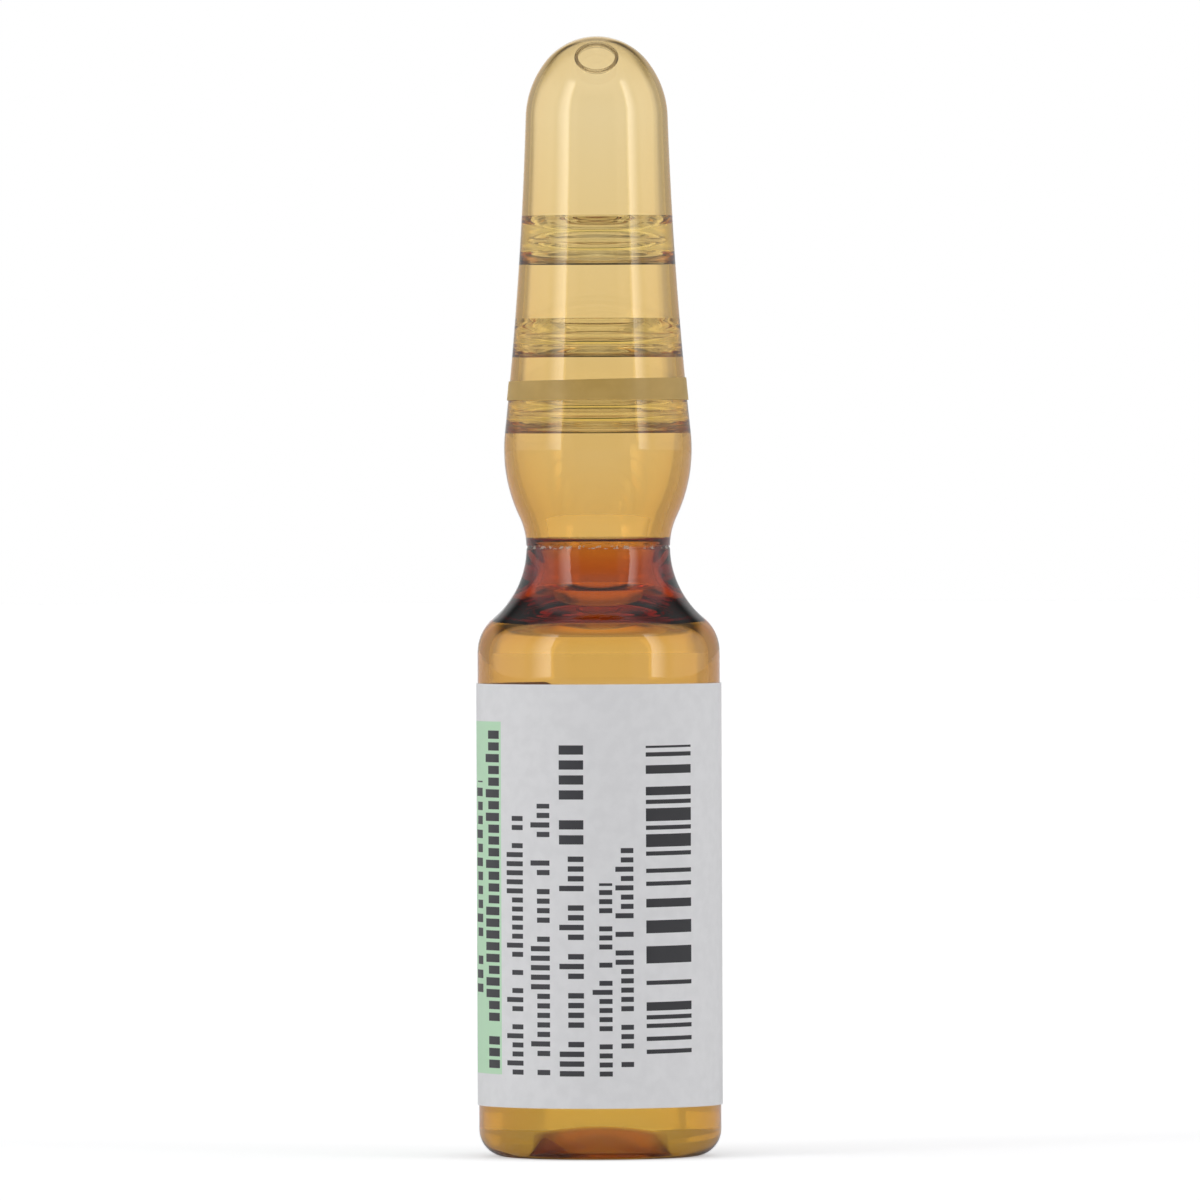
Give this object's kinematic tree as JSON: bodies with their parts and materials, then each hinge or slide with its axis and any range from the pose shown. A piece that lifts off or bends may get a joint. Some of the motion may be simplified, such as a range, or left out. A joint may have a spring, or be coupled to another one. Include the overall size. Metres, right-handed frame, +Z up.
{
  "type": "glass ampoule",
  "caption": "Sealed one-millilitre amber glass ampoule with a scored neck, an enamel ring on the stem, a blank-print paper label and its liquid charge.",
  "frame": {"origin": "middle of the foot, on the plane it stands on", "axes": "+Z up the ampoule's axis to its tip, -Y towards the middle of the label's printed front, +X to the right of that front"},
  "size_m": [0.0108, 0.0108, 0.0497],
  "materials": {
    "amber_glass": "gloss",
    "clear_liquid": "gloss",
    "ring_enamel": "satin",
    "label_paper": "satin"
  },
  "bodies": {
    "root": {"glass_envelope": "amber_glass", "enamel_ring": "ring_enamel", "paper_label": "label_paper", "liquid_charge": "clear_liquid", "neck_plug": "clear_liquid", "film_lower": "clear_liquid", "film_middle": "clear_liquid", "film_upper": "clear_liquid", "tip_bubble": "clear_liquid"}
  },
  "joints": []
}
